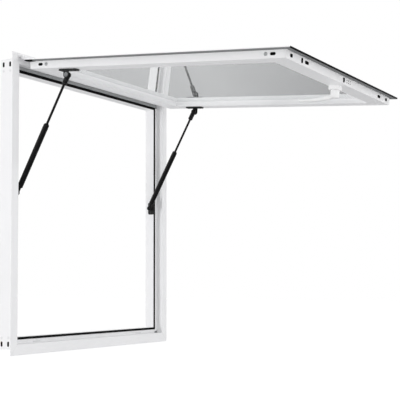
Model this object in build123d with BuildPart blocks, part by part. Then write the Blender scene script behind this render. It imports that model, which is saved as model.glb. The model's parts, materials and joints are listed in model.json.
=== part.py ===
"""Awning-type concession window of extruded aluminium, its door standing open on two gas struts.

The frame is a mitred ring of hollow profile: a flange that laps the wall outside, a reveal, and a stop
ledge with a rubber gasket. A glazed door hangs from a continuous hinge along the head. It swings up and
out, two gas struts hold it there, and a lever handle on its bottom rail locks it when it is shut.

Millimetres. +X is to the right seen from outside, -Y points outdoors and +Z is up. The origin is on the
back of the flange, in the middle of the strip that laps the wall under the sill.
"""

import os
from math import cos, hypot, radians, sin

from build123d import *

os.makedirs("parts", exist_ok=True)

# Frame: one hollow profile, mitred at four corners
window_width = 950.0
window_height = 950.0
frame_depth = 62.0
flange_thick = 2.5
flange_lap = 19.0
flange_face = 34.0
stop_depth = 26.0
stop_height = 21.0
wall = 2.0
edge_round = 0.8
gasket_width = 8.0
gasket_thick = 3.0
cleat_slot_length = 16.5
cleat_slot_width = 7.5
cleat_slot_from_end = 16.0
cleat_slot_depth = 38.0
cleat_slot_spread = 26.0
drain_slot_length = 40.0
drain_slot_height = 4.0
drain_slot_reach = 310.0

# Door: a mitred ring of deep hollow rails round one pane of glass
door_gap = 5.0
door_stand_off = 11.0
door_depth = 28.0
rail_width = 58.0
lip_width = 20.0
top_lip_width = 10.0
lip_thick = 2.5
glass_thick = 5.0
glass_recess = 7.0
glass_grip = 12.0
glass_slack = 2.0
seal_thick = 3.0
seal_from_edge = 1.0
seal_from_body = 4.0
rail_slot_length = 17.0
rail_slot_width = 9.0
rail_slot_from_end = 39.0
end_slot_length = 16.0
end_slot_width = 10.0
end_slot_from_end = 36.0
lock_slot_length = 28.0
lock_slot_width = 10.0
left_lock_slot_from_end = 146.0
right_lock_slot_from_end = 108.0
keeper_slot_length = 15.0
keeper_slot_width = 8.5
keeper_slot_from_end = 110.0

# Continuous hinge along the head
open_angle = 86.0
axis_stand_off = 19.0
axis_below_top = 16.0
knuckle_radius = 5.5
pin_radius = 2.8
pin_clearance = 0.2
knuckle_count = 15
hinge_from_end = 25.0
knuckle_gap = 0.5
leaf_thick = 2.5
leaf_clearance = 1.5
frame_leaf_height = 17.0
door_leaf_height = 36.0

# Gas struts
strut_inset = 17.5
foot_height = 512.0
foot_depth = 36.0
strut_drop = 18.0
strut_top_reach = 146.0
cylinder_radius = 9.0
cylinder_length = 240.0
bore_depth = 172.0
rod_radius = 4.0
rod_clearance = 0.3
rod_overlap = 25.0
socket_radius = 9.5
socket_length = 33.0
collar_radius = 8.0
ball_radius = 8.0
neck_radius = 5.5
neck_length = 20.0
stud_radius = 3.0
stud_clearance = 0.3
stud_depth = 4.0
ear_thick = 2.6
ear_gap = 0.4
bracket_length = 68.0
bracket_width = 24.0
bracket_thick = 4.5
bracket_offset = 3.0
foot_plate_length = 46.0
foot_plate_width = 26.0
foot_plate_thick = 3.0
foot_stud_radius = 4.0
foot_gap = 0.3

# Lock handle
handle_from_end = 39.0
handle_aside = 32.0
base_length = 56.0
base_width = 34.0
base_thick = 13.0
spindle_radius = 14.0
spindle_height = 24.0
spindle_gap = 0.3
lever_root_width = 22.0
lever_root_thick = 13.0
lever_root_lift = 16.0
lever_tip_width = 14.0
lever_tip_thick = 6.0
lever_tip_lift = 30.0
lever_reach = 118.0
lever_section_count = 7

# Planes and places that follow from them
half_width = window_width / 2
low = -flange_lap / 2
high = low + window_height
front = -flange_thick
tunnel = flange_face + stop_height
body_half = half_width - flange_face - door_gap
body_low = low + flange_face + door_gap
body_high = high - flange_face - door_gap
outer_face = front - door_stand_off
inner_face = outer_face + door_depth
glass_back = glass_recess + glass_thick
axis_y = front - axis_stand_off
axis_z = high - axis_below_top
strut_x = half_width - tunnel - strut_inset

outward = Vector(0, -1, 0)
inward = Vector(0, 1, 0)
up = Vector(0, 0, 1)
right = Vector(1, 0, 0)


def swing(point, angle):
    """Turns a (y, z) place about the hinge axis, in degrees; a negative angle opens the door."""
    turn = radians(angle)
    y, z = point[0] - axis_y, point[1] - axis_z
    return axis_y + y * cos(turn) - z * sin(turn), axis_z + y * sin(turn) + z * cos(turn)


opening = Location((0, axis_y, axis_z), (-open_angle, 0, 0)) * Location((0, -axis_y, -axis_z))


def on_door(plane):
    """Takes a plane drawn on the shut door to where it is with the door open."""
    return Plane(opening * plane.location)


def keep(builder, name):
    """Labels a finished piece and writes it."""
    builder.part.label = name
    export_step(builder.part, f"parts/{name}.step")


def side_plane(corner, towards_middle):
    """A section plane at one corner: x runs towards the middle of the opening, y runs indoors."""
    return Plane(origin=corner, x_dir=towards_middle, z_dir=towards_middle.cross(inward))


def mitre(plane, length):
    """The two 45 degree planes that cut a member which starts at plane, as (first, last)."""
    across, along = plane.x_dir, plane.z_dir
    end = plane.origin + along * length
    return Plane(plane.origin, z_dir=along - across), Plane(end, z_dir=-along - across)


# Frame members: name, starting corner, direction to the middle, length
frame_sides = {
    "frame_sill": (Vector(half_width, front, low), up, window_width),
    "left_jamb": (Vector(-half_width, front, low), right, window_height),
    "frame_head": (Vector(-half_width, front, high), -up, window_width),
    "right_jamb": (Vector(half_width, front, high), -right, window_height),
}
for name, (corner, middle, length) in frame_sides.items():
    section_plane = side_plane(corner, middle)
    with BuildPart() as member:
        with BuildSketch(section_plane) as section:
            with BuildLine():
                Polyline(
                    (0, 0),
                    (flange_face, 0),
                    (flange_face, stop_depth),
                    (tunnel, stop_depth),
                    (tunnel, frame_depth),
                    (flange_lap, frame_depth),
                    (flange_lap, flange_thick),
                    (0, flange_thick),
                    close=True,
                )
            make_face()
            fillet(section.vertices(), edge_round)
            with BuildLine():
                Polyline(
                    (flange_lap + wall, wall),
                    (flange_face - wall, wall),
                    (flange_face - wall, stop_depth + wall),
                    (tunnel - wall, stop_depth + wall),
                    (tunnel - wall, frame_depth - wall),
                    (flange_lap + wall, frame_depth - wall),
                    close=True,
                )
            make_face(mode=Mode.SUBTRACT)
        extrude(amount=length)
        for cut in mitre(section_plane, length):
            split(bisect_by=cut, keep=Keep.TOP)
        slot_middle = front + cleat_slot_depth
        if name.endswith("jamb"):
            slot_ends = (low + flange_lap + cleat_slot_from_end, high - flange_lap - cleat_slot_from_end)
            for slot_z in slot_ends:
                for shift in (-cleat_slot_spread / 2, cleat_slot_spread / 2):
                    place = Vector(corner.X, slot_middle + shift, slot_z) + middle * flange_lap
                    with BuildSketch(Plane(place, x_dir=up, z_dir=-middle)):
                        SlotOverall(cleat_slot_length, cleat_slot_width)
                    extrude(amount=-2 * wall, mode=Mode.SUBTRACT)
        if name == "frame_sill":
            ledge = Plane((0, front + stop_depth, low + flange_face), x_dir=right, z_dir=outward)
            with BuildSketch(ledge):
                for drain_x in (-drain_slot_reach, drain_slot_reach):
                    with Locations((drain_x, drain_slot_height)):
                        SlotOverall(drain_slot_length, drain_slot_height)
            extrude(amount=-2 * wall, mode=Mode.SUBTRACT)
    keep(member, name)

    # The rubber gasket lies on the stop ledge, along the edge of the tunnel
    with BuildPart() as gasket:
        with BuildSketch(section_plane) as section:
            with Locations((tunnel - gasket_width, stop_depth)):
                Rectangle(gasket_width, gasket_thick, align=(Align.MIN, Align.MAX))
            fillet(section.vertices().group_by(Axis.Y)[0], gasket_thick * 0.6)
        extrude(amount=length)
        for cut in mitre(section_plane, length):
            split(bisect_by=cut, keep=Keep.TOP)
    keep(gasket, name.replace("frame_", "").replace("_jamb", "") + "_gasket")

# Door rails, drawn on the shut door and placed where the open door is
door_sides = {
    "bottom": (Vector(body_half, outer_face, body_low), up, 2 * body_half, lip_width),
    "left": (Vector(-body_half, outer_face, body_low), right, body_high - body_low, lip_width),
    "top": (Vector(-body_half, outer_face, body_high), -up, 2 * body_half, top_lip_width),
    "right": (Vector(body_half, outer_face, body_high), -right, body_high - body_low, lip_width),
}
lip_top_z = body_high + top_lip_width
lip_top = on_door(Plane((0, outer_face, lip_top_z), z_dir=-up))
seal_top = on_door(Plane((0, outer_face, body_high + seal_from_body), z_dir=-up))
for side, (corner, middle, length, lip) in door_sides.items():
    section_plane = on_door(side_plane(corner, middle))
    with BuildPart() as rail:
        with BuildSketch(section_plane) as section:
            with BuildLine():
                Polyline(
                    (-lip, 0),
                    (rail_width, 0),
                    (rail_width, glass_recess),
                    (rail_width - glass_grip, glass_recess),
                    (rail_width - glass_grip, glass_back),
                    (rail_width, glass_back),
                    (rail_width, door_depth),
                    (0, door_depth),
                    (0, lip_thick),
                    (-lip, lip_thick),
                    close=True,
                )
            make_face()
            fillet(section.vertices(), edge_round)
            with BuildLine():
                Polyline(
                    (wall, wall),
                    (rail_width - wall, wall),
                    (rail_width - wall, glass_recess - wall),
                    (rail_width - glass_grip - wall, glass_recess - wall),
                    (rail_width - glass_grip - wall, glass_back + wall),
                    (rail_width - wall, glass_back + wall),
                    (rail_width - wall, door_depth - wall),
                    (wall, door_depth - wall),
                    close=True,
                )
            make_face(mode=Mode.SUBTRACT)
        extrude(amount=length + 2 * lip_width, both=True)
        for cut in mitre(section_plane, length):
            split(bisect_by=cut, keep=Keep.TOP)
        face_middle = outer_face + (lip_thick + door_depth) / 2
        if side in ("left", "right"):
            split(bisect_by=lip_top, keep=Keep.TOP)
            for slot_z in (body_low + rail_slot_from_end, body_high - rail_slot_from_end):
                place = Plane((corner.X, face_middle, slot_z), x_dir=up, z_dir=-middle)
                with BuildSketch(on_door(place)):
                    SlotOverall(rail_slot_length, rail_slot_width)
                extrude(amount=-2 * wall, mode=Mode.SUBTRACT)
        if side == "bottom":
            end_face = on_door(Plane((0, face_middle, body_low), x_dir=right, z_dir=-up))
            end_x = body_half - end_slot_from_end
            left_lock_x = left_lock_slot_from_end - body_half
            right_lock_x = body_half - right_lock_slot_from_end
            keeper_x = keeper_slot_from_end - body_half
            with BuildSketch(end_face):
                with Locations((-end_x, 0), (end_x, 0)):
                    SlotOverall(end_slot_length, end_slot_width)
                with Locations((left_lock_x, 0), (right_lock_x, 0)):
                    SlotOverall(lock_slot_length, lock_slot_width)
                with Locations((keeper_x, 0), (0, 0)):
                    SlotOverall(keeper_slot_length, keeper_slot_width, rotation=90)
            extrude(amount=-2 * wall, mode=Mode.SUBTRACT)
    keep(rail, f"door_{side}_rail")

    # A black rubber seal runs under the lip, near its edge
    with BuildPart() as seal:
        with BuildSketch(section_plane) as section:
            with Locations((seal_from_edge - lip, lip_thick)):
                Rectangle(lip - seal_from_edge - seal_from_body, seal_thick, align=(Align.MIN, Align.MIN))
            fillet(section.vertices().group_by(Axis.Y)[-1], seal_thick * 0.5)
        extrude(amount=length + 2 * lip_width, both=True)
        for cut in mitre(section_plane, length):
            split(bisect_by=cut, keep=Keep.TOP)
        if side in ("left", "right"):
            split(bisect_by=seal_top, keep=Keep.TOP)
    keep(seal, f"door_{side}_seal")

# The pane stands in the rails' groove
pane_inset = rail_width - glass_grip + glass_slack
pane_width = 2 * (body_half - pane_inset)
pane_height = body_high - body_low - 2 * pane_inset
with BuildPart() as glass_pane:
    middle_z = (body_low + body_high) / 2
    with BuildSketch(on_door(Plane((0, outer_face + glass_back, middle_z), x_dir=right, z_dir=outward))):
        Rectangle(pane_width, pane_height)
    extrude(amount=glass_thick)
keep(glass_pane, "glass_pane")

# Continuous hinge: knuckles of the two leaves take turns along one pin
bore_radius = pin_radius + pin_clearance
knuckle_length = (window_width - 2 * hinge_from_end) / knuckle_count
first_knuckle = -knuckle_length * (knuckle_count - 1) / 2
frame_knuckles = [first_knuckle + knuckle_length * i for i in range(0, knuckle_count, 2)]
door_knuckles = [first_knuckle + knuckle_length * i for i in range(1, knuckle_count, 2)]
hinge_length = knuckle_length * knuckle_count - knuckle_gap
piece_length = knuckle_length - knuckle_gap
pin_plane = Plane((0, axis_y, axis_z), x_dir=inward, z_dir=right)

with BuildPart() as hinge_frame_leaf:
    with BuildSketch(pin_plane):
        with Locations((axis_stand_off, -leaf_thick)):
            Rectangle(leaf_thick, frame_leaf_height, align=(Align.MAX, Align.MIN))
    extrude(amount=hinge_length / 2, both=True)
    for x in frame_knuckles:
        with BuildSketch(pin_plane.offset(x)):
            Circle(knuckle_radius)
            with Locations((0, knuckle_radius)):
                Rectangle(axis_stand_off, leaf_thick, align=(Align.MIN, Align.MAX))
        extrude(amount=piece_length / 2, both=True)
    with BuildSketch(pin_plane):
        Circle(bore_radius)
    extrude(amount=hinge_length / 2, both=True, mode=Mode.SUBTRACT)
keep(hinge_frame_leaf, "hinge_frame_leaf")

leaf_top = -knuckle_radius - leaf_clearance
leaf_back = axis_stand_off - door_stand_off
door_pin_plane = on_door(pin_plane)
with BuildPart() as hinge_door_leaf:
    with BuildSketch(door_pin_plane):
        with Locations((leaf_back, leaf_top)):
            Rectangle(leaf_thick, door_leaf_height, align=(Align.MAX, Align.MAX))
    extrude(amount=hinge_length / 2, both=True)
    for x in door_knuckles:
        with BuildSketch(door_pin_plane.offset(x)):
            Circle(knuckle_radius)
            with Locations((leaf_back, leaf_top)):
                Rectangle(leaf_thick, -leaf_top, align=(Align.MAX, Align.MIN))
            Rectangle(leaf_back, leaf_thick, align=(Align.MIN, Align.MAX))
        extrude(amount=piece_length / 2, both=True)
    with BuildSketch(door_pin_plane):
        Circle(bore_radius)
    extrude(amount=hinge_length / 2, both=True, mode=Mode.SUBTRACT)
keep(hinge_door_leaf, "hinge_door_leaf")

with BuildPart() as hinge_pin:
    with BuildSketch(pin_plane):
        Circle(pin_radius)
    extrude(amount=hinge_length / 2, both=True)
keep(hinge_pin, "hinge_pin")

# Gas struts: where the two ends are with the door open
strut_depth = door_depth + strut_drop
top_shut = (outer_face + strut_depth, axis_z - strut_top_reach)
top_y, top_z = swing(top_shut, -open_angle)
foot_y, foot_z = front + foot_depth, low + foot_height
strut_length = hypot(top_y - foot_y, top_z - foot_z)
strut_down = Vector(0, foot_y - top_y, foot_z - top_z).normalized()
rod_length = strut_length - cylinder_length + rod_overlap

for side, sign in (("left", -1), ("right", 1)):
    aside = right * sign
    top = Vector(sign * strut_x, top_y, top_z)
    foot = Vector(sign * strut_x, foot_y, foot_z)
    rod_plane = Plane(top, x_dir=right, z_dir=right.cross(strut_down))
    cylinder_plane = Plane(foot, x_dir=right, z_dir=right.cross(-strut_down))

    # The rod ends in a moulded socket over the stud of its bracket
    with BuildPart() as rod:
        with BuildSketch(rod_plane):
            Circle(socket_radius)
            Rectangle(2 * collar_radius, socket_length, align=(Align.CENTER, Align.MIN))
            Rectangle(2 * rod_radius, rod_length, align=(Align.CENTER, Align.MIN))
            Rectangle(
                2 * socket_radius,
                2 * rod_length,
                align=(Align.MAX, Align.CENTER),
                mode=Mode.SUBTRACT,
            )
        revolve(axis=Axis(top, strut_down))
        rims = rod.edges().filter_by(GeomType.CIRCLE)
        collar_rims = rims.filter_by(lambda rim: rim.radius > collar_radius - rod_clearance)
        collar_end = collar_rims.sort_by_distance(top + strut_down * socket_length)[0]
        fillet(collar_end, collar_radius / 3)
        with BuildSketch(Plane(top, x_dir=inward, z_dir=aside)):
            Circle(stud_radius + stud_clearance)
        extrude(amount=2 * socket_radius, mode=Mode.SUBTRACT)
        with BuildSketch(Plane(top, x_dir=inward, z_dir=-aside)):
            Circle(stud_radius + stud_clearance)
        extrude(amount=stud_depth + stud_clearance, mode=Mode.SUBTRACT)
    keep(rod, f"{side}_strut_rod")

    with BuildPart() as cylinder:
        with BuildSketch(cylinder_plane):
            Circle(ball_radius)
            Rectangle(2 * neck_radius, neck_length, align=(Align.CENTER, Align.MIN))
            with Locations((0, neck_length)):
                Rectangle(
                    2 * cylinder_radius,
                    cylinder_length - neck_length,
                    align=(Align.CENTER, Align.MIN),
                )
            Rectangle(
                2 * cylinder_radius,
                2 * cylinder_length,
                align=(Align.MAX, Align.CENTER),
                mode=Mode.SUBTRACT,
            )
        revolve(axis=Axis(foot, -strut_down))
        rims = cylinder.edges().filter_by(GeomType.CIRCLE)
        shoulders = rims.filter_by(lambda rim: rim.radius > cylinder_radius - rod_clearance)
        fillet(shoulders, cylinder_radius / 3)
        mouth = Plane(foot - strut_down * cylinder_length, z_dir=strut_down)
        with BuildSketch(mouth):
            Circle(rod_radius + rod_clearance)
        extrude(amount=bore_depth, mode=Mode.SUBTRACT)
    keep(cylinder, f"{side}_strut_cylinder")

    # Upper bracket: a plate under the side rail, an ear beside the socket and the stud that carries it
    ear_x = strut_x + socket_radius + ear_gap
    plate_x = ear_x + ear_thick - bracket_width / 2
    plate_z = top_shut[1] - bracket_offset
    with BuildPart() as bracket:
        plate_plane = on_door(Plane((sign * plate_x, inner_face, plate_z), x_dir=right, z_dir=inward))
        with BuildSketch(plate_plane):
            RectangleRounded(bracket_width, bracket_length, bracket_width / 4)
        extrude(amount=bracket_thick)
        ear_plane = on_door(Plane((sign * ear_x, top_shut[0], top_shut[1]), x_dir=inward, z_dir=aside))
        with BuildSketch(ear_plane):
            Circle(socket_radius)
            Rectangle(strut_drop, 2 * socket_radius, align=(Align.MAX, Align.CENTER))
        extrude(amount=ear_thick)
        with BuildSketch(ear_plane):
            Circle(stud_radius)
        extrude(amount=-(ear_x - strut_x + stud_depth))
    keep(bracket, f"{side}_strut_bracket")

    # Lower bracket: a plate on the tunnel wall whose stud meets the cylinder's end
    tunnel_x = half_width - tunnel
    with BuildPart() as foot_bracket:
        with BuildSketch(Plane((sign * tunnel_x, foot_y, foot_z), x_dir=inward, z_dir=-aside)):
            RectangleRounded(foot_plate_width, foot_plate_length, foot_plate_width / 4)
        extrude(amount=foot_plate_thick)
        with BuildSketch(Plane((sign * tunnel_x, foot_y, foot_z), x_dir=inward, z_dir=-aside)):
            Circle(foot_stud_radius)
        extrude(amount=strut_inset - ball_radius - foot_gap)
    keep(foot_bracket, f"{side}_strut_foot")

# Lock handle on the inner face of the bottom rail
handle_z = body_low + handle_from_end
with BuildPart() as handle_base:
    with BuildSketch(on_door(Plane((handle_aside, inner_face, handle_z), x_dir=right, z_dir=inward))):
        SlotOverall(base_length, base_width)
    extrude(amount=base_thick)
    fillet(handle_base.faces().sort_by(Axis.Z)[0].edges(), base_thick / 5)
keep(handle_base, "handle_base")

lever_start = inner_face + base_thick + spindle_gap
with BuildPart() as handle_lever:
    with BuildSketch(on_door(Plane((handle_aside, lever_start, handle_z), x_dir=right, z_dir=inward))):
        Circle(spindle_radius)
    extrude(amount=spindle_height)
    spindle_end = handle_lever.edges().sort_by(Axis.Z)[0]
    fillet(spindle_end, spindle_radius / 4)
    for i in range(lever_section_count):
        share = i / (lever_section_count - 1)
        lift = lever_tip_lift - (lever_tip_lift - lever_root_lift) * (1 - share) ** 3
        width = lever_root_width + (lever_tip_width - lever_root_width) * share
        thick = lever_root_thick + (lever_tip_thick - lever_root_thick) * share
        middle = (handle_aside, lever_start + lift, handle_z + lever_reach * share)
        with BuildSketch(on_door(Plane(middle, x_dir=right, z_dir=up))):
            RectangleRounded(width, thick, thick / 2.2)
    loft()
keep(handle_lever, "handle_lever")
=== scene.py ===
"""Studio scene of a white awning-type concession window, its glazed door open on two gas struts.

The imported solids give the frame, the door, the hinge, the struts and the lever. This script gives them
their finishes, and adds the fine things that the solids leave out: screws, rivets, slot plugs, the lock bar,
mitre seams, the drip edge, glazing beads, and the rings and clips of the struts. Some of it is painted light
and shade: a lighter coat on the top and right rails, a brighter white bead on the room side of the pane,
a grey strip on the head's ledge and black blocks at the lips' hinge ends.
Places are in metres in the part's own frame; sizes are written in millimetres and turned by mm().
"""

import json
from math import cos, pi, radians, sin

import bmesh
import bpy
from mathutils import Matrix, Vector


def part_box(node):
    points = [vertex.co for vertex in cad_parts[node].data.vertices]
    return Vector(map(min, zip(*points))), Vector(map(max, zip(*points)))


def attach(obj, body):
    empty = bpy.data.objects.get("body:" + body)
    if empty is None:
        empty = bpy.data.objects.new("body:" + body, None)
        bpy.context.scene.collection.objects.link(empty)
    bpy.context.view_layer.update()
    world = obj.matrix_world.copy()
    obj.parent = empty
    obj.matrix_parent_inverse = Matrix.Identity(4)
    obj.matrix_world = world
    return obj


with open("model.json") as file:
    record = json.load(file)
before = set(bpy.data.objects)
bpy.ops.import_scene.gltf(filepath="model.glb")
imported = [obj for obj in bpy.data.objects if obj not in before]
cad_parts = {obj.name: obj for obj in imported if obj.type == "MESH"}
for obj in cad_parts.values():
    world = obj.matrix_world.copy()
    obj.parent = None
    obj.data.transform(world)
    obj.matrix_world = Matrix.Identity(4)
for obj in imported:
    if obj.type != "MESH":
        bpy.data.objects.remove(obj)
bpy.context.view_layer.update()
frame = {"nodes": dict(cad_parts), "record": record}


def mm(*values):
    """Millimetres to metres: one number, or a vector of several."""
    return values[0] / 1000 if len(values) == 1 else Vector(values) / 1000


# Places that the solids and the joints give
joints = {joint["name"]: joint for joint in frame["record"]["behaviour"]["joints"]}
hinge_place = Vector(joints["door_hinge"]["pos_m"])
open_turn = radians(joints["door_hinge"]["range_deg"][1])
half_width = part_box("frame_sill")[1][0]
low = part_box("frame_sill")[0][2]
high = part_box("frame_head")[1][2]
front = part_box("frame_sill")[0][1]

# Sizes repeated from the solids
flange_lap = mm(19)
flange_face = mm(34)
flange_thick = mm(2.5)
stop_depth = mm(26)
tunnel = mm(55)
frame_depth = mm(62)
door_gap = mm(5)
door_stand_off = mm(11)
door_depth = mm(28)
rail_width = mm(58)
lip_width = mm(20)
lip_thick = mm(2.5)
seal_thick = mm(3)
glass_recess = mm(7)
glass_back = mm(12)
leaf_thick = mm(2.5)
bracket_thick = mm(4.5)
foot_plate_thick = mm(3)
base_thick = mm(13)
cylinder_length = mm(240)
cleat_slot_depth, cleat_slot_shift, cleat_slot_from_end = mm(38), mm(13), mm(16)
drain_reach, drain_lift = mm(310), mm(4)
rail_slot_from_end, end_slot_from_end, keeper_from_end = mm(39), mm(36), mm(110)
left_slider_from_end, right_slider_from_end = mm(146), mm(108)
outer_face = front - door_stand_off
inner_face = outer_face + door_depth
body_half = half_width - flange_face - door_gap
body_low = low + flange_face + door_gap
body_high = high - flange_face - door_gap

# Takes a place on the shut door to where the open door has it
to_open = (Matrix.Translation(hinge_place) @ Matrix.Rotation(-open_turn, 4, "X")
           @ Matrix.Translation(-hinge_place))
as_it_is = Matrix.Identity(4)

OUT, IN = Vector((0, -1, 0)), Vector((0, 1, 0))
UP, DOWN = Vector((0, 0, 1)), Vector((0, 0, -1))
LEFT, RIGHT = Vector((-1, 0, 0)), Vector((1, 0, 0))


# Materials

def colour(hex_value):
    """An sRGB hex value as linear red, green, blue and alpha."""
    channels = [int(hex_value[i:i + 2], 16) / 255 for i in (1, 3, 5)]
    return [c / 12.92 if c <= 0.04045 else ((c + 0.055) / 1.055) ** 2.4 for c in channels] + [1.0]


def per_mm(size):
    """The scale of a pattern whose lumps or lines are about this many millimetres across."""
    return 1000 / size


def add(tree, kind, links=None, values=None, **settings):
    """Adds a node with its settings, its input values and the links that feed it."""
    made = tree.nodes.new(kind)
    for key, value in settings.items():
        setattr(made, key, value)
    for key, value in (values or {}).items():
        made.inputs[key].default_value = value
    for key, source in (links or {}).items():
        tree.links.new(source, made.inputs[key])
    return made


def start_material(name):
    """An empty node material with its tree and the piece's own coordinates."""
    material = bpy.data.materials.new(name)
    material.use_nodes = True
    tree = material.node_tree
    tree.nodes.clear()
    return material, tree, add(tree, "ShaderNodeTexCoord").outputs["Object"]


def powder_coat(name, first, second, gloss):
    """Polyester powder coat, sprayed and baked: an even satin white with a soft orange peel.

    The peel is really about 1.5 mm across and is drawn at 6 mm so that it shows.
    """
    material, tree, place = start_material(name)
    cloud = add(tree, "ShaderNodeTexNoise", links={"Vector": place},
                values={"Scale": per_mm(140), "Detail": 3.0}).outputs["Fac"]
    share = add(tree, "ShaderNodeMapRange", links={"Value": cloud},
                values={"From Min": 0.3, "From Max": 0.7}).outputs["Result"]
    shade = add(tree, "ShaderNodeMix", data_type="RGBA", links={0: share},
                values={6: colour(first), 7: colour(second)}).outputs[2]
    gloss_cloud = add(tree, "ShaderNodeTexNoise", links={"Vector": place},
                      values={"Scale": per_mm(45), "Detail": 3.0}).outputs["Fac"]
    sheen = add(tree, "ShaderNodeMapRange", links={"Value": gloss_cloud},
                values={"From Min": 0.3, "From Max": 0.7, "To Min": gloss - 0.05,
                        "To Max": gloss + 0.07}).outputs["Result"]
    peel = add(tree, "ShaderNodeTexNoise", links={"Vector": place},
               values={"Scale": per_mm(6), "Detail": 2.0}).outputs["Fac"]
    relief = add(tree, "ShaderNodeBump", links={"Height": peel},
                 values={"Distance": mm(0.06), "Strength": 0.18}).outputs["Normal"]
    paint = add(tree, "ShaderNodeBsdfPrincipled", values={"IOR": 1.5},
                links={"Base Color": shade, "Roughness": sheen, "Normal": relief})
    add(tree, "ShaderNodeOutputMaterial", links={"Surface": paint.outputs["BSDF"]})
    return material


def extruded_rubber(name, first, second, shine):
    """Extruded EPDM rubber: matt, with a dusty bloom and a fine skin that is drawn at 2 mm."""
    material, tree, place = start_material(name)
    bloom = add(tree, "ShaderNodeTexNoise", links={"Vector": place},
                values={"Scale": per_mm(30), "Detail": 4.0}).outputs["Fac"]
    share = add(tree, "ShaderNodeMapRange", links={"Value": bloom},
                values={"From Min": 0.3, "From Max": 0.7}).outputs["Result"]
    shade = add(tree, "ShaderNodeMix", data_type="RGBA", links={0: share},
                values={6: colour(first), 7: colour(second)}).outputs[2]
    dullness = add(tree, "ShaderNodeMapRange", links={"Value": bloom},
                   values={"From Min": 0.3, "From Max": 0.7, "To Min": 0.58, "To Max": 0.74}).outputs["Result"]
    skin = add(tree, "ShaderNodeTexNoise", links={"Vector": place},
               values={"Scale": per_mm(2), "Detail": 3.0}).outputs["Fac"]
    relief = add(tree, "ShaderNodeBump", links={"Height": skin},
                 values={"Distance": mm(0.15), "Strength": 0.35}).outputs["Normal"]
    rubber = add(tree, "ShaderNodeBsdfPrincipled", values={"IOR": 1.52, "Specular IOR Level": shine},
                 links={"Base Color": shade, "Roughness": dullness, "Normal": relief})
    add(tree, "ShaderNodeOutputMaterial", links={"Surface": rubber.outputs["BSDF"]})
    return material


def cell_foam(name, first, second):
    """Closed-cell sponge tape: mid grey and quite dull, with open cells on its cut face.

    The cells are really under 1 mm across and are drawn at 2.5 mm.
    """
    material, tree, place = start_material(name)
    cells = add(tree, "ShaderNodeTexVoronoi", links={"Vector": place},
                values={"Scale": per_mm(2.5)}).outputs["Distance"]
    shade = add(tree, "ShaderNodeMix", data_type="RGBA", links={0: cells},
                values={6: colour(first), 7: colour(second)}).outputs[2]
    dullness = add(tree, "ShaderNodeMapRange", links={"Value": cells},
                   values={"From Max": 0.8, "To Min": 0.8, "To Max": 0.92}).outputs["Result"]
    relief = add(tree, "ShaderNodeBump", links={"Height": cells},
                 values={"Distance": mm(0.4), "Strength": 0.4}).outputs["Normal"]
    foam = add(tree, "ShaderNodeBsdfPrincipled", values={"IOR": 1.45, "Specular IOR Level": 0.2},
               links={"Base Color": shade, "Roughness": dullness, "Normal": relief})
    add(tree, "ShaderNodeOutputMaterial", links={"Surface": foam.outputs["BSDF"]})
    return material


def tinted_glass(name, first, second):
    """Tempered float glass: faintly grey where it is looked through, and mirror-like at a low angle.

    Its roller wave is about 200 mm long and only just bends what it mirrors. Light from the lamps and from pale
    surfaces goes straight through it.
    """
    material, tree, place = start_material(name)
    wave = add(tree, "ShaderNodeTexNoise", links={"Vector": place},
               values={"Scale": per_mm(200), "Detail": 1.0}).outputs["Fac"]
    relief = add(tree, "ShaderNodeBump", links={"Height": wave},
                 values={"Distance": mm(0.2), "Strength": 0.04}).outputs["Normal"]
    shade = add(tree, "ShaderNodeMix", data_type="RGBA", links={0: wave},
                values={6: colour(first), 7: colour(second)}).outputs[2]
    film = add(tree, "ShaderNodeTexNoise", links={"Vector": place},
               values={"Scale": per_mm(60), "Detail": 3.0}).outputs["Fac"]
    haze = add(tree, "ShaderNodeMapRange", links={"Value": film},
               values={"From Min": 0.3, "From Max": 0.7, "To Min": 0.01, "To Max": 0.03}).outputs["Result"]
    pane = add(tree, "ShaderNodeBsdfPrincipled",
               values={"IOR": 1.52, "Transmission Weight": 1.0, "Coat Weight": 1.0, "Coat IOR": 1.8,
                       "Coat Roughness": 0.02},
               links={"Base Color": shade, "Roughness": haze, "Normal": relief})
    path = add(tree, "ShaderNodeLightPath").outputs
    lit_through = add(tree, "ShaderNodeMath", operation="MAXIMUM",
                      links={0: path["Is Shadow Ray"], 1: path["Is Diffuse Ray"]})
    clear = add(tree, "ShaderNodeBsdfTransparent", values={"Color": colour("#EDEFEF")})
    both = add(tree, "ShaderNodeMixShader",
               links={0: lit_through.outputs[0], 1: pane.outputs["BSDF"], 2: clear.outputs["BSDF"]})
    add(tree, "ShaderNodeOutputMaterial", links={"Surface": both.outputs["Shader"]})
    return material


def baked_enamel(name, first, second, gloss, shine):
    """Baked enamel or moulded nylon: an even colour, a soft sheen, and a faint peel drawn at 4 mm."""
    material, tree, place = start_material(name)
    cloud = add(tree, "ShaderNodeTexNoise", links={"Vector": place},
                values={"Scale": per_mm(20), "Detail": 3.0}).outputs["Fac"]
    share = add(tree, "ShaderNodeMapRange", links={"Value": cloud},
                values={"From Min": 0.3, "From Max": 0.7}).outputs["Result"]
    shade = add(tree, "ShaderNodeMix", data_type="RGBA", links={0: share},
                values={6: colour(first), 7: colour(second)}).outputs[2]
    sheen = add(tree, "ShaderNodeMapRange", links={"Value": cloud},
                values={"From Min": 0.3, "From Max": 0.7, "To Min": gloss - 0.06,
                        "To Max": gloss + 0.08}).outputs["Result"]
    peel = add(tree, "ShaderNodeTexNoise", links={"Vector": place},
               values={"Scale": per_mm(4), "Detail": 2.0}).outputs["Fac"]
    relief = add(tree, "ShaderNodeBump", links={"Height": peel},
                 values={"Distance": mm(0.08), "Strength": 0.3}).outputs["Normal"]
    enamel = add(tree, "ShaderNodeBsdfPrincipled", values={"IOR": 1.5, "Specular IOR Level": shine},
                 links={"Base Color": shade, "Roughness": sheen, "Normal": relief})
    add(tree, "ShaderNodeOutputMaterial", links={"Surface": enamel.outputs["BSDF"]})
    return material


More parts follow.
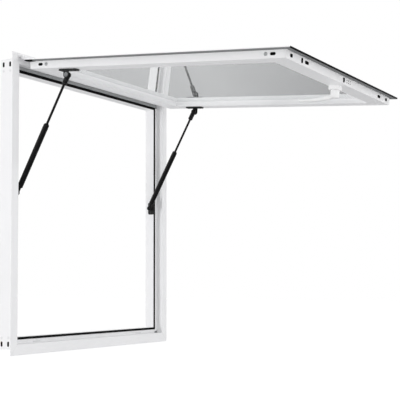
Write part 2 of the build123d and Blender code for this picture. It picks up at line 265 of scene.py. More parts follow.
def worked_metal(name, first, second, gloss, line_mm, stretch):
    """Ground or drawn metal: fine tool lines along one direction, drawn wide enough to show."""
    material, tree, place = start_material(name)
    along = add(tree, "ShaderNodeMapping", links={"Vector": place}, values={"Scale": stretch}).outputs["Vector"]
    lines = add(tree, "ShaderNodeTexNoise", links={"Vector": along},
                values={"Scale": per_mm(line_mm), "Detail": 3.0}).outputs["Fac"]
    share = add(tree, "ShaderNodeMapRange", links={"Value": lines},
                values={"From Min": 0.3, "From Max": 0.7}).outputs["Result"]
    shade = add(tree, "ShaderNodeMix", data_type="RGBA", links={0: share},
                values={6: colour(first), 7: colour(second)}).outputs[2]
    sheen = add(tree, "ShaderNodeMapRange", links={"Value": lines},
                values={"From Min": 0.3, "From Max": 0.7, "To Min": gloss - 0.05,
                        "To Max": gloss + 0.1}).outputs["Result"]
    relief = add(tree, "ShaderNodeBump", links={"Height": lines},
                 values={"Distance": mm(0.03), "Strength": 0.3}).outputs["Normal"]
    metal = add(tree, "ShaderNodeBsdfPrincipled", values={"Metallic": 1.0},
                links={"Base Color": shade, "Roughness": sheen, "Normal": relief})
    add(tree, "ShaderNodeOutputMaterial", links={"Surface": metal.outputs["BSDF"]})
    return material


white_coat = powder_coat("white_powder_coat_on_aluminium", "#F0F0F1", "#F3F3F4", 0.36)
# A lighter copy of the white coat for the top and right rails: painted light, standing for the extra light on
# their faces under the pane
lit_white_coat = powder_coat("white_powder_coat_painted_lighter", "#F7F7F8", "#FAFAFB", 0.36)
handle_enamel = powder_coat("white_stove_enamel_on_die_casting", "#F1F1F1", "#F5F5F5", 0.28)
screw_paint = powder_coat("white_painted_screw_head", "#E4E5E6", "#ECECED", 0.4)
gasket_rubber = extruded_rubber("black_epdm_rubber", "#050505", "#0B0B0C", 0.08)
glazing_silicone = extruded_rubber("pale_grey_glazing_silicone", "#C2C4C5", "#CDCECF", 0.4)
# A whiter silicone than the coat, for the room-side bead: painted light over the shade where the rails meet the
# pane
lit_white_silicone = extruded_rubber("white_silicone_painted_light", "#FAFAFB", "#FDFDFE", 0.5)
mitre_sealant = extruded_rubber("white_mitre_sealant", "#D9DADB", "#E0E1E2", 0.4)
seal_foam = cell_foam("grey_closed_cell_sponge_tape", "#77797A", "#8A8B8C")
# A pale grey foam for the strip on the head's ledge: painted shade of the cavity under the open door
shade_strip_foam = cell_foam("pale_grey_foam_painted_shade", "#A4A6A7", "#B2B4B5")
pane_glass = tinted_glass("tempered_float_glass", "#E2E4E5", "#E7E9E9")
tube_enamel = baked_enamel("black_baked_enamel_on_steel_tube", "#0A0A0B", "#101011", 0.36, 0.26)
rod_enamel = baked_enamel("black_nitrided_steel_rod", "#0C0C0D", "#131314", 0.3, 0.3)
bracket_enamel = baked_enamel("black_painted_steel_bracket", "#131314", "#1C1C1D", 0.45, 0.4)
nylon = baked_enamel("black_moulded_nylon", "#060607", "#0B0B0C", 0.7, 0.04)
pale_nylon = baked_enamel("pale_grey_moulded_nylon", "#E0E1E2", "#E7E8E9", 0.5, 0.4)
screw_plating = baked_enamel("black_zinc_plated_screw", "#202022", "#2B2B2D", 0.3, 0.5)
rivet_metal = worked_metal("upset_aluminium_rivet", "#BFC1C3", "#CBCDCE", 0.45, 1.5, (1, 1, 1))
stud_zinc = worked_metal("zinc_plated_steel_stud", "#8E9092", "#9B9D9F", 0.42, 1.5, (1, 1, 1))

node_finish = {
    "gasket": gasket_rubber,
    "seal": seal_foam,
    "glass_pane": pane_glass,
    "strut_cylinder": tube_enamel,
    "strut_rod": rod_enamel,
    "strut_bracket": bracket_enamel,
    "strut_foot": bracket_enamel,
    "hinge_pin": screw_paint,
    # The top and right rails take the lighter copy of the coat: painted light
    "door_top_rail": lit_white_coat,
    "door_right_rail": lit_white_coat,
    "handle": handle_enamel,
}
for node_name, node_object in frame["nodes"].items():
    chosen = white_coat
    for part_of_name, finish in node_finish.items():
        if part_of_name in node_name:
            chosen = finish
    for material_slot in node_object.material_slots:
        material_slot.material = chosen


# Making pieces

def link(name, data):
    """A new object in the scene for a mesh, curve, lamp or camera."""
    made = bpy.data.objects.new(name, data)
    bpy.context.collection.objects.link(made)
    return made


def piece_of(name, mesh, body, finish=None):
    """A finished piece: its mesh smoothed up to its sharp edges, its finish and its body."""
    mesh.name = name
    if finish:
        mesh.materials.clear()
        mesh.materials.append(finish)
    mesh.shade_smooth()
    mesh.set_sharp_from_angle(angle=radians(35))
    piece = link(name, mesh)
    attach(piece, body)
    return piece


def mesh_from(builder):
    """A plain mesh from a finished bmesh, its faces turned outwards."""
    bmesh.ops.recalc_face_normals(builder, faces=builder.faces)
    mesh = bpy.data.meshes.new("built")
    builder.to_mesh(mesh)
    builder.free()
    return mesh


def on_door(point, *directions):
    """A place and its directions on the shut door, where the open door has them."""
    return [to_open @ point] + [to_open.to_3x3() @ direction for direction in directions]


# Screws and rivets: one tree sets a domed head on every point of a cloud

def head_tree(name):
    """A tree that sets a domed head on each point, turned to the point's own 'facing' direction.

    The head is made one unit in radius and in height, and scaled as it is set.
    """
    tree = bpy.data.node_groups.new(name, "GeometryNodeTree")
    sockets = tree.interface
    sockets.new_socket("Points", in_out="INPUT", socket_type="NodeSocketGeometry")
    sockets.new_socket("Head Radius", in_out="INPUT", socket_type="NodeSocketFloat")
    sockets.new_socket("Head Height", in_out="INPUT", socket_type="NodeSocketFloat")
    sockets.new_socket("Cross Recess", in_out="INPUT", socket_type="NodeSocketBool")
    sockets.new_socket("Finish", in_out="INPUT", socket_type="NodeSocketMaterial")
    sockets.new_socket("Heads", in_out="OUTPUT", socket_type="NodeSocketGeometry")
    given = add(tree, "NodeGroupInput").outputs

    ball = add(tree, "GeometryNodeMeshUVSphere", values={"Segments": 20, "Rings": 12, "Radius": 1.0})
    under = add(tree, "GeometryNodeMeshCube", values={"Size": (3, 3, 2)})
    below = add(tree, "GeometryNodeTransform", links={"Geometry": under.outputs["Mesh"]},
                values={"Translation": (0, 0, -1)})
    dome = add(tree, "GeometryNodeMeshBoolean", operation="DIFFERENCE", solver="EXACT",
               links={"Mesh 1": ball.outputs["Mesh"], "Mesh 2": below.outputs["Geometry"]})

    cross = add(tree, "GeometryNodeMeshBoolean", operation="UNION", solver="EXACT")
    for size in ((1.0, 0.26, 0.9), (0.26, 1.0, 0.9)):
        bar = add(tree, "GeometryNodeMeshCube", values={"Size": size})
        tree.links.new(bar.outputs["Mesh"], cross.inputs["Mesh 2"])
    mandrel = add(tree, "GeometryNodeMeshCylinder", values={"Vertices": 12, "Radius": 0.32, "Depth": 0.6})
    recess = add(tree, "GeometryNodeSwitch", input_type="GEOMETRY",
                 links={"Switch": given["Cross Recess"], "False": mandrel.outputs["Mesh"],
                        "True": cross.outputs["Mesh"]})
    top = add(tree, "GeometryNodeTransform", links={"Geometry": recess.outputs["Output"]},
              values={"Translation": (0, 0, 1)})
    head = add(tree, "GeometryNodeMeshBoolean", operation="DIFFERENCE", solver="EXACT",
               links={"Mesh 1": dome.outputs["Mesh"], "Mesh 2": top.outputs["Geometry"]})

    size = add(tree, "ShaderNodeCombineXYZ", links={"X": given["Head Radius"], "Y": given["Head Radius"],
                                                    "Z": given["Head Height"]})
    facing = add(tree, "GeometryNodeInputNamedAttribute", data_type="FLOAT_VECTOR", values={"Name": "facing"})
    turn = add(tree, "FunctionNodeAlignRotationToVector", axis="Z",
               links={"Vector": facing.outputs["Attribute"]})
    heads = add(tree, "GeometryNodeInstanceOnPoints",
                links={"Points": given["Points"], "Instance": head.outputs["Mesh"],
                       "Rotation": turn.outputs["Rotation"], "Scale": size.outputs["Vector"]})
    real = add(tree, "GeometryNodeRealizeInstances", links={"Geometry": heads.outputs["Instances"]})
    painted = add(tree, "GeometryNodeSetMaterial",
                  links={"Geometry": real.outputs["Geometry"], "Material": given["Finish"]})
    add(tree, "NodeGroupOutput", links={"Heads": painted.outputs["Geometry"]})
    return tree


def plug_tree(name):
    """A tree that sets a dished plug with round ends on each point, its length turned to 'along'."""
    tree = bpy.data.node_groups.new(name, "GeometryNodeTree")
    sockets = tree.interface
    sockets.new_socket("Points", in_out="INPUT", socket_type="NodeSocketGeometry")
    sockets.new_socket("Plug Length", in_out="INPUT", socket_type="NodeSocketFloat")
    sockets.new_socket("Plug Width", in_out="INPUT", socket_type="NodeSocketFloat")
    sockets.new_socket("Plug Depth", in_out="INPUT", socket_type="NodeSocketFloat")
    sockets.new_socket("Finish", in_out="INPUT", socket_type="NodeSocketMaterial")
    sockets.new_socket("Plugs", in_out="OUTPUT", socket_type="NodeSocketGeometry")
    given = add(tree, "NodeGroupInput").outputs

    radius = add(tree, "ShaderNodeMath", operation="MULTIPLY", links={0: given["Plug Width"]}, values={1: 0.5})
    span = add(tree, "ShaderNodeMath", operation="SUBTRACT",
               links={0: given["Plug Length"], 1: given["Plug Width"]})
    apart = add(tree, "ShaderNodeCombineXYZ", links={"X": span.outputs[0]})
    ends = add(tree, "GeometryNodeMeshLine", mode="OFFSET", values={"Count": 2},
               links={"Offset": apart.outputs["Vector"]})
    round_end = add(tree, "GeometryNodeMeshCylinder", values={"Vertices": 24},
                    links={"Radius": radius.outputs[0], "Depth": given["Plug Depth"]})
    both_ends = add(tree, "GeometryNodeInstanceOnPoints",
                    links={"Points": ends.outputs["Mesh"], "Instance": round_end.outputs["Mesh"]})
    one_mesh = add(tree, "GeometryNodeRealizeInstances", links={"Geometry": both_ends.outputs["Instances"]})
    whole = add(tree, "GeometryNodeConvexHull", links={"Geometry": one_mesh.outputs["Geometry"]})
    shift = add(tree, "ShaderNodeVectorMath", operation="SCALE", links={0: apart.outputs["Vector"]},
                values={"Scale": -0.5})
    body = add(tree, "GeometryNodeTransform",
               links={"Geometry": whole.outputs["Convex Hull"], "Translation": shift.outputs["Vector"]})
    lift = add(tree, "ShaderNodeMath", operation="MULTIPLY", links={0: given["Plug Depth"]}, values={1: 0.8})
    raised = add(tree, "ShaderNodeCombineXYZ", links={"Z": lift.outputs[0]})
    dish = add(tree, "GeometryNodeTransform", values={"Scale": (0.72, 0.6, 1)},
               links={"Geometry": body.outputs["Geometry"], "Translation": raised.outputs["Vector"]})
    plug = add(tree, "GeometryNodeMeshBoolean", operation="DIFFERENCE", solver="EXACT",
               links={"Mesh 1": body.outputs["Geometry"], "Mesh 2": dish.outputs["Geometry"]})

    facing = add(tree, "GeometryNodeInputNamedAttribute", data_type="FLOAT_VECTOR", values={"Name": "facing"})
    along = add(tree, "GeometryNodeInputNamedAttribute", data_type="FLOAT_VECTOR", values={"Name": "along"})
    raised_axis = add(tree, "FunctionNodeAlignRotationToVector", axis="Z",
                      links={"Vector": facing.outputs["Attribute"]})
    turn = add(tree, "FunctionNodeAlignRotationToVector", axis="X", pivot_axis="Z",
               links={"Rotation": raised_axis.outputs["Rotation"], "Vector": along.outputs["Attribute"]})
    plugs = add(tree, "GeometryNodeInstanceOnPoints",
                links={"Points": given["Points"], "Instance": plug.outputs["Mesh"],
                       "Rotation": turn.outputs["Rotation"]})
    real = add(tree, "GeometryNodeRealizeInstances", links={"Geometry": plugs.outputs["Instances"]})
    painted = add(tree, "GeometryNodeSetMaterial",
                  links={"Geometry": real.outputs["Geometry"], "Material": given["Finish"]})
    add(tree, "NodeGroupOutput", links={"Plugs": painted.outputs["Geometry"]})
    return tree


domed_heads = head_tree("domed_heads_on_points")
slot_plugs = plug_tree("slot_plugs_on_points")


def set_on_places(name, body, tree, places, inputs):
    """Runs a tree on (point, facing, along) places and keeps the result as one plain mesh on a body."""
    points, *turns = zip(*places)
    cloud = bpy.data.meshes.new(name + "_points")
    cloud.from_pydata(points, [], [])
    for attribute, vectors in zip(("facing", "along"), turns):
        values = cloud.attributes.new(attribute, "FLOAT_VECTOR", "POINT").data
        for value, vector in zip(values, vectors):
            value.vector = vector
    source = link(name + "_source", cloud)
    modifier = source.modifiers.new("set", "NODES")
    modifier.node_group = tree
    for item in tree.interface.items_tree:
        if item.name in inputs:
            modifier[item.identifier] = inputs[item.name]
    graph = bpy.context.evaluated_depsgraph_get()
    mesh = bpy.data.meshes.new_from_object(source.evaluated_get(graph))
    source.modifiers.remove(modifier)
    bpy.data.objects.remove(source)
    return piece_of(name, mesh, body)


def set_heads(name, body, finish, places, radius, height, cross=True):
    """Sets screw or rivet heads on (point, facing) places."""
    return set_on_places(name, body, domed_heads, places,
                         {"Head Radius": radius, "Head Height": height, "Cross Recess": cross, "Finish": finish})


def set_plugs(name, body, places, length, width, finish=nylon, proud=mm(-0.25)):
    """Closes slots at (point, facing, along) places with plugs that lie below the face or stand proud of it."""
    depth = mm(2.4)
    sunk = [(point + facing * (proud - depth / 2), facing, along) for point, facing, along in places]
    return set_on_places(name, body, slot_plugs, sunk,
                         {"Plug Length": length, "Plug Width": width, "Plug Depth": depth, "Finish": finish})


# Slots and rivets of the corner cleats in both jambs
slot_y = front + cleat_slot_depth
cleat_rivet_from_end = mm(36)
slots, rivets = [], []
for side, outward in ((-1, LEFT), (1, RIGHT)):
    face_x = side * (half_width - flange_lap)
    for end, inwards in ((low + flange_lap, 1), (high - flange_lap, -1)):
        for y in (slot_y - cleat_slot_shift, slot_y + cleat_slot_shift):
            slots.append((Vector((face_x, y, end + inwards * cleat_slot_from_end)), outward, UP))
            rivets.append((Vector((face_x, y, end + inwards * cleat_rivet_from_end)), outward))
set_plugs("jamb_slot_plugs", "frame", slots, mm(16.2), mm(7.2))
set_heads("corner_cleat_rivets", "frame", screw_paint, rivets, mm(4.5), mm(1.0),
          cross=False)

# Covers in the drain slots of the sill
drains = [(Vector((x, front + stop_depth, low + flange_face + drain_lift)), OUT, RIGHT)
          for x in (-drain_reach, drain_reach)]
set_plugs("drain_covers", "frame", drains, mm(39.7), mm(3.7), pale_nylon)

# Screws of the lower strut brackets
foot_screw_shift = mm(15)
places = []
for side, inward in (("left", RIGHT), ("right", LEFT)):
    foot_low, foot_high = (Vector(corner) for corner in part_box(f"{side}_strut_foot"))
    middle = (foot_low + foot_high) / 2
    face_x = -inward.x * (half_width - tunnel - foot_plate_thick)
    for dz in (-foot_screw_shift, foot_screw_shift):
        places.append((Vector((face_x, middle.y, middle.z + dz)), inward))
set_heads("strut_foot_screws", "frame", screw_plating, places, mm(4), mm(2.2))

# Screws along both hinge leaves
screw_spacing, screw_count = mm(120), 7
above_pin, below_pin = mm(10.5), mm(30)
screw_row = [screw_spacing * (i - (screw_count - 1) / 2) for i in range(screw_count)]
places = [(Vector((x, front - leaf_thick, hinge_place.z + above_pin)), OUT) for x in screw_row]
set_heads("frame_leaf_screws", "frame", screw_paint, places, mm(3.2), mm(1.3))
places = [on_door(Vector((x, outer_face - leaf_thick, hinge_place.z - below_pin)), OUT) for x in screw_row]
set_heads("door_leaf_screws", "awning_door", screw_paint, places, mm(3.4), mm(1.4))

# Slots and rivets of the corner keys in the side rails
face_middle = outer_face + (lip_thick + door_depth) / 2
key_rivet_from_end = mm(61)
slots, rivets = [], []
for side, outward in ((-1, LEFT), (1, RIGHT)):
    for end, inwards in ((body_low, 1), (body_high, -1)):
        face = Vector((side * body_half, face_middle, end))
        slots.append(on_door(face + UP * inwards * rail_slot_from_end, outward, UP))
        rivets.append(on_door(face + UP * inwards * key_rivet_from_end, outward))
set_plugs("rail_slot_plugs", "awning_door", slots, mm(16.7), mm(8.7))
set_heads("corner_key_rivets", "awning_door", rivet_metal, rivets, mm(5.5), mm(1.0),
          cross=False)

# The bottom rail: plugs at its ends, the lock's sliders in the wide slots and its latches in the upright ones
ends = [on_door(Vector((side * (body_half - end_slot_from_end), face_middle, body_low)), DOWN, RIGHT)
        for side in (-1, 1)]
set_plugs("end_slot_plugs", "awning_door", ends, mm(15.7), mm(9.7), proud=mm(1.2))
sliders = [on_door(Vector((x, face_middle, body_low)), DOWN, RIGHT)
           for x in (left_slider_from_end - body_half, body_half - right_slider_from_end)]
set_plugs("lock_sliders", "awning_door", sliders, mm(27.7), mm(9.7))
latches = [on_door(Vector((x, face_middle, body_low)), DOWN, IN) for x in (keeper_from_end - body_half, 0)]
set_plugs("lock_latches", "awning_door", latches, mm(14.7), mm(8.2), proud=mm(2))

# Rivets of the lock bar's guides, beside the middle latch
places = []
for x in (mm(28), mm(42), mm(56)):
    for shift in (-mm(4), mm(4)):
        places.append(on_door(Vector((x, face_middle + shift, body_low)), DOWN))
set_heads("lock_guide_rivets", "awning_door", tube_enamel, places, mm(2.1), mm(0.8),
          cross=False)

# Screws of the upper strut brackets, and the studs that their ears hold
for side in ("left", "right"):
    top = Vector(joints[f"{side}_strut_swing"]["pos_m"])
    top_shut = to_open.inverted() @ top
    places = [on_door(Vector((top_shut.x, inner_face + bracket_thick, top_shut.z + dz)), IN)
              for dz in (-mm(27), mm(21))]
    set_heads(f"{side}_bracket_screws", "awning_door", screw_plating, places, mm(4), mm(2.2))
    outward = LEFT if side == "left" else RIGHT
    ear_low, ear_high = (Vector(corner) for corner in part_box(f"{side}_strut_bracket"))
    ear_x = ear_low.x if side == "left" else ear_high.x
    stud = [(Vector((ear_x, top.y, top.z)), outward)]
    set_heads(f"{side}_stud_head", "awning_door", stud_zinc, stud, mm(7.5), mm(1.8),
              cross=False)

# Screws of the handle base
handle_shut = to_open.inverted() @ Vector(joints["handle_turn"]["pos_m"])
base_screw_shift = mm(20)
places = [on_door(Vector((handle_shut.x + shift, inner_face + base_thick, handle_shut.z)), IN)
          for shift in (-base_screw_shift, base_screw_shift)]
set_heads("handle_base_screws", "awning_door", screw_paint, places, mm(3.2), mm(1.3))


# Mitred rings and seams

def corners_of(half, bottom, top, y):
    """The four corners of a ring in order round it, each with its diagonal towards the middle."""
    return [(Vector((-half, y, bottom)), RIGHT + UP), (Vector((half, y, bottom)), LEFT + UP),
            (Vector((half, y, top)), LEFT + DOWN), (Vector((-half, y, top)), RIGHT + DOWN)]


frame_corners = corners_of(half_width, low, high, front)
door_corners = corners_of(body_half, body_low, body_high, outer_face)


def seams(name, body, profile, corners, placed, bead):
    """A hairline of sealant along a profile of (towards the middle, indoors) points, across each mitre."""
    curve = bpy.data.curves.new(name + "_path", "CURVE")
    curve.dimensions = "3D"
    curve.bevel_depth = bead
    curve.bevel_resolution = 1
    for corner, to_middle in corners:
        line = curve.splines.new("POLY")
        line.points.add(len(profile) - 1)
        for point, (across, indoors) in zip(line.points, profile):
            point.co = [*(placed @ (corner + to_middle * across + IN * indoors)), 1]
    source = link(name + "_source", curve)
    graph = bpy.context.evaluated_depsgraph_get()
    mesh = bpy.data.meshes.new_from_object(source.evaluated_get(graph))
    bpy.data.objects.remove(source)
    return piece_of(name, mesh, body, mitre_sealant)


def mitred_ring(name, body, finish, profile, corners, placed):
    """A closed ring of one section, (towards the middle, indoors) points, mitred at its corners."""
    builder = bmesh.new()
    rings = [[builder.verts.new(placed @ (corner + to_middle * across + IN * indoors))
              for across, indoors in profile] for corner, to_middle in corners]
    count = len(profile)
    for i, ring in enumerate(rings):
        following = rings[(i + 1) % len(rings)]
        for k in range(count):
            after = (k + 1) % count
            builder.faces.new((ring[k], ring[after], following[after], following[k]))
    return piece_of(name, mesh_from(builder), body, finish)


frame_profile = [(0, 0), (flange_face, 0), (flange_face, stop_depth), (tunnel, stop_depth),
                 (tunnel, frame_depth), (flange_lap, frame_depth), (flange_lap, flange_thick), (0, flange_thick)]
hairline = mm(0.22)
seams("frame_mitre_seams", "frame", frame_profile, frame_corners, as_it_is, hairline)
seams("door_face_mitre_seams", "awning_door", [(0, 0), (rail_width, 0)], door_corners, to_open, hairline)
rail_profile = [(0, lip_thick), (0, door_depth), (rail_width, door_depth), (rail_width, glass_back)]
seams("door_rail_mitre_seams", "awning_door", rail_profile, door_corners, to_open, hairline)

# A bead of silicone closes the groove round the pane on the weather side
bead_width = mm(3.5)
bead_profile = [(rail_width, glass_recess), (rail_width, glass_recess - bead_width),
                (rail_width + bead_width * 0.4, glass_recess - bead_width * 0.4),
                (rail_width + bead_width, glass_recess)]
mitred_ring("glazing_bead", "awning_door", glazing_silicone, bead_profile, door_corners,
            to_open)

# A brighter white bead on the room side covers the joint between the rails and the pane: painted light over the
# shade in that corner
room_bead_width = mm(6)
room_bead_profile = [(rail_width, glass_back), (rail_width, glass_back + room_bead_width),
                     (rail_width + room_bead_width * 0.4, glass_back + room_bead_width * 0.4),
                     (rail_width + room_bead_width, glass_back)]
mitred_ring("room_side_bead_painted_light", "awning_door", lit_white_silicone, room_bead_profile,
            door_corners, to_open)


# Extruded strips and blocks

def extrusion(name, body, finish, outlines, sweep, placed, edge):
    """Flat outlines pushed along one vector, as one mesh with its edges eased by a small bevel."""
    builder = bmesh.new()
    for outline in outlines:
        first = [builder.verts.new(placed @ point) for point in outline]
        last = [builder.verts.new(placed @ (point + sweep)) for point in outline]
        builder.faces.new(first)
        builder.faces.new(reversed(last))
        for k, vertex in enumerate(first):
            after = (k + 1) % len(first)
            builder.faces.new((vertex, last[k], last[after], first[after]))
    bmesh.ops.recalc_face_normals(builder, faces=builder.faces)
    bmesh.ops.bevel(builder, geom=list(builder.edges), offset=edge, segments=2, profile=0.5, affect="EDGES")
    return piece_of(name, mesh_from(builder), body, finish)


# The lock bar slides behind the slots in the bottom rail
bar_half, bar_z = mm(345), body_low + mm(3.2)
bar_front, bar_back = outer_face + mm(5), outer_face + mm(25)
bar_outline = [Vector((x, y, bar_z)) for x, y in
               ((-bar_half, bar_front), (bar_half, bar_front), (bar_half, bar_back), (-bar_half, bar_back))]
extrusion("lock_bar", "awning_door", tube_enamel, [bar_outline], UP * mm(3), to_open, mm(0.6))

# A black rubber drip edge on the rim of the bottom lip
rim_z = body_low - lip_width
lip_half = body_half + lip_width
seal_back = outer_face + lip_thick + seal_thick
drip_outline = [Vector((-lip_half, y, rim_z - below)) for y, below in
                ((outer_face, 0), (seal_back, 0), (seal_back, mm(1.2)), (outer_face + mm(1.5), mm(2.2)),
                 (outer_face, mm(1.2)))]
extrusion("drip_edge", "awning_door", gasket_rubber, [drip_outline], RIGHT * 2 * lip_half,
          to_open, mm(0.3))

# A pale grey strip on the head's ledge, from the reveal down to the gasket: painted shade of the cavity under the
# open door
ledge_half, ledge_y = half_width - flange_face - mm(1), front + stop_depth
shade_strip_front, shade_strip_top, shade_strip_foot = ledge_y - mm(1.2), high - flange_face - mm(0.3), high - tunnel + mm(8.2)
shade_strip_outline = [Vector((-ledge_half, y, z)) for y, z in
                ((ledge_y, shade_strip_top), (shade_strip_front, shade_strip_top), (shade_strip_front, shade_strip_foot), (ledge_y, shade_strip_foot))]
extrusion("head_ledge_painted_shade_strip", "frame", shade_strip_foam, [shade_strip_outline], RIGHT * 2 * ledge_half,
          as_it_is, mm(0.3))

# The heel of the head's gasket, a black strip just above it
heel_front, heel_top, heel_foot = ledge_y - mm(1.7), high - tunnel + mm(9.6), high - tunnel + mm(7.8)
heel_outline = [Vector((-ledge_half, y, z)) for y, z in
                ((ledge_y, heel_top), (heel_front, heel_top), (heel_front, heel_foot), (ledge_y, heel_foot))]
extrusion("head_gasket_heel", "frame", gasket_rubber, [heel_outline], RIGHT * 2 * ledge_half,
          as_it_is, mm(0.3))

# Grey sponge pads close the lower corners of the ledge
pad_shape = ((13, 0.3), (0.5, 0.3), (0.5, 7), (13, 5))
pad_outlines = [[Vector((side * (half_width - flange_face - mm(inwards)), ledge_y, low + flange_face + mm(lift)))
                 for inwards, lift in pad_shape] for side in (-1, 1)]
extrusion("ledge_corner_pads", "frame", seal_foam, pad_outlines, OUT * mm(3), as_it_is,
          mm(0.4))

# Black rubber blocks under the side lips at their hinge ends: painted shade, standing in for the dark gap between
# the lip ends and the head
block_top, block_length = body_high + mm(10), mm(30)
block_in, block_out = body_half + mm(1), lip_half - mm(0.6)
block_front, block_back = outer_face + lip_thick, seal_back + mm(0.4)
block_shape = ((block_in, block_front), (block_out, block_front), (block_out, block_back), (block_in, block_back))
block_outlines = [[Vector((side * x, y, block_top)) for x, y in block_shape] for side in (-1, 1)]
extrusion("hinge_end_shade_blocks", "awning_door", gasket_rubber, block_outlines, DOWN * block_length,
          to_open, mm(0.3))


# Turned rings of the gas struts

def turned(name, body, finish, centre, axis, outlines):
    """Rings turned about an axis, each from a closed outline of (radius, along the axis) points."""
    turn = axis.to_track_quat("Z", "Y").to_matrix()
    steps = 36
    builder = bmesh.new()
    for outline in outlines:
        rings = []
        for i in range(steps):
            angle = 2 * pi * i / steps
            rings.append([builder.verts.new(centre + turn @ Vector((r * cos(angle), r * sin(angle), along)))
                          for r, along in outline])
        for i, ring in enumerate(rings):
            following = rings[(i + 1) % steps]
            for k in range(len(outline)):
                after = (k + 1) % len(outline)
                builder.faces.new((ring[k], following[k], following[after], ring[after]))
    return piece_of(name, mesh_from(builder), body, finish)


def round_section(radius, along, wire):
    """The outline of a round wire bent into a ring."""
    return [(radius + wire * cos(2 * pi * i / 10), along + wire * sin(2 * pi * i / 10)) for i in range(10)]


for side in ("left", "right"):
    top = Vector(joints[f"{side}_strut_swing"]["pos_m"])
    foot_low, foot_high = (Vector(corner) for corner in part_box(f"{side}_strut_foot"))
    foot = Vector((top.x, (foot_low.y + foot_high.y) / 2, (foot_low.z + foot_high.z) / 2))
    down = (foot - top).normalized()
    mouth = foot - down * cylinder_length
    wiper = [(mm(4.4), 0), (mm(6.6), 0), (mm(7.0), mm(-0.5)), (mm(6.6), mm(-1.6)), (mm(4.6), mm(-1.8))]
    turned(f"{side}_rod_wiper", f"{side}_cylinder", gasket_rubber, mouth, down, [wiper])
    beads = [round_section(mm(9), mm(along), mm(0.7)) for along in (14, 19)]
    turned(f"{side}_rolled_beads", f"{side}_cylinder", tube_enamel, mouth, down, beads)
    clip = [round_section(mm(8.2), mm(along), mm(0.8)) for along in (16, 27)]
    turned(f"{side}_socket_clip", f"{side}_rod", screw_plating, top, down, clip)


# Studio: a pale floor far below, an even sky, soft lamps and the camera

def seen_not_lit(tree):
    """One where the background is looked at, straight, in a mirror or through glass; zero where it lights."""
    path = add(tree, "ShaderNodeLightPath").outputs
    straight = add(tree, "ShaderNodeMath", operation="MAXIMUM",
                   links={0: path["Is Camera Ray"], 1: path["Is Glossy Ray"]}).outputs[0]
    return add(tree, "ShaderNodeMath", operation="MAXIMUM",
               links={0: straight, 1: path["Is Transmission Ray"]}).outputs[0]


world = bpy.data.worlds.new("studio_sky")
bpy.context.scene.world = world
world.use_nodes = True
sky = world.node_tree
sky.nodes.clear()
sky_light = add(sky, "ShaderNodeBackground", values={"Color": colour("#FDFDFE"), "Strength": 0.62})
sky_seen = add(sky, "ShaderNodeBackground", values={"Color": colour("#FFFFFF"), "Strength": 1.0})
sky_both = add(sky, "ShaderNodeMixShader",
               links={0: seen_not_lit(sky), 1: sky_light.outputs[0], 2: sky_seen.outputs[0]})
add(sky, "ShaderNodeOutputWorld", links={"Surface": sky_both.outputs[0]})

floor_paint, floor_tree, _ = start_material("pale_studio_floor")
floor_matt = add(floor_tree, "ShaderNodeBsdfDiffuse", values={"Color": colour("#E7E7E7")})
floor_share = add(floor_tree, "ShaderNodeMath", operation="MULTIPLY", values={1: 0.52},
                  links={0: seen_not_lit(floor_tree)})
floor_glow = add(floor_tree, "ShaderNodeEmission", values={"Color": colour("#FFFFFF")},
                 links={"Strength": floor_share.outputs[0]})
floor_sum = add(floor_tree, "ShaderNodeAddShader", links={0: floor_matt.outputs[0], 1: floor_glow.outputs[0]})
add(floor_tree, "ShaderNodeOutputMaterial", links={"Surface": floor_sum.outputs[0]})


def level_square(name, half, z, material):
    """A level square of the stage."""
    mesh = bpy.data.meshes.new(name)
    corners = [(-half, -half, z), (half, -half, z), (half, half, z), (-half, half, z)]
    mesh.from_pydata(corners, [], [(0, 1, 2, 3)])
    mesh.materials.append(material)
    square = link(name, mesh)
    return square


level_square("floor", 60, -1.0, floor_paint)

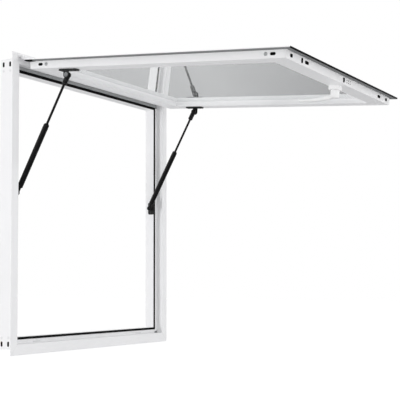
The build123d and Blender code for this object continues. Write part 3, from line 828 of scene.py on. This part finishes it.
# A grey card below the window is what the pane mirrors, paler towards one side; nothing else sees it
card_tone, card_tree, card_place = start_material("grey_studio_card")
card_across = add(card_tree, "ShaderNodeVectorMath", operation="DOT_PRODUCT", links={0: card_place},
                  values={1: (-0.33, 1, 0)}).outputs["Value"]
card_level = add(card_tree, "ShaderNodeMapRange", links={"Value": card_across},
                 values={"From Min": 0.2, "From Max": 2.3, "To Min": 0.24, "To Max": 0.43}).outputs["Result"]
card_grey = add(card_tree, "ShaderNodeEmission", values={"Color": colour("#FCFDFF")},
                links={"Strength": card_level})
add(card_tree, "ShaderNodeOutputMaterial", links={"Surface": card_grey.outputs[0]})
card = level_square("mirror_card", 25, -0.95, card_tone)
card.visible_camera = False
card.visible_diffuse = False
card.visible_transmission = False
card.visible_shadow = False


def soft_lamp(name, place, aim, wide, tall, watts):
    """A softbox that looks at aim; the pane mirrors and shows the plain sky in place of its outline."""
    lamp = bpy.data.lights.new(name, "AREA")
    lamp.shape = "RECTANGLE"
    lamp.size = wide
    lamp.size_y = tall
    lamp.energy = watts
    box = link(name, lamp)
    box.location = place
    box.rotation_euler = (Vector(aim) - Vector(place)).to_track_quat("-Z", "Y").to_euler()
    box.visible_glossy = False
    box.visible_transmission = False


middle_of_window = (0, -0.3, 0.5)
soft_lamp("rear_left_lamp", (-6.0, 4.2, 0.45), middle_of_window, 1.6, 1.6, 180)
soft_lamp("front_softbox", (-1.0, -9.0, 0.1), middle_of_window, 5.0, 0.8, 190)
soft_lamp("top_softbox", (-0.8, -0.6, 9.0), middle_of_window, 6.0, 6.0, 290)

# The camera's place, turn and length come from fitting the frame's corners to the photo's 400 pixels
picture_width, focal_pixels = 400, 1035.76
camera = bpy.data.cameras.new("camera")
camera.sensor_width = 36
camera.lens = focal_pixels * camera.sensor_width / picture_width
camera.shift_x = 0.08
camera.shift_y = 0.08
camera.clip_end = 200
eye = link("camera", camera)
yaw, pitch = radians(30.35), radians(2.76)
look = Vector((cos(yaw) * cos(pitch), sin(yaw) * cos(pitch), sin(pitch)))
eye.location = mm(-2996.56, -2041.63, 219.33)
eye.rotation_euler = look.to_track_quat("-Z", "Y").to_euler()
bpy.context.scene.camera = eye
bpy.context.scene.view_settings.view_transform = "Standard"
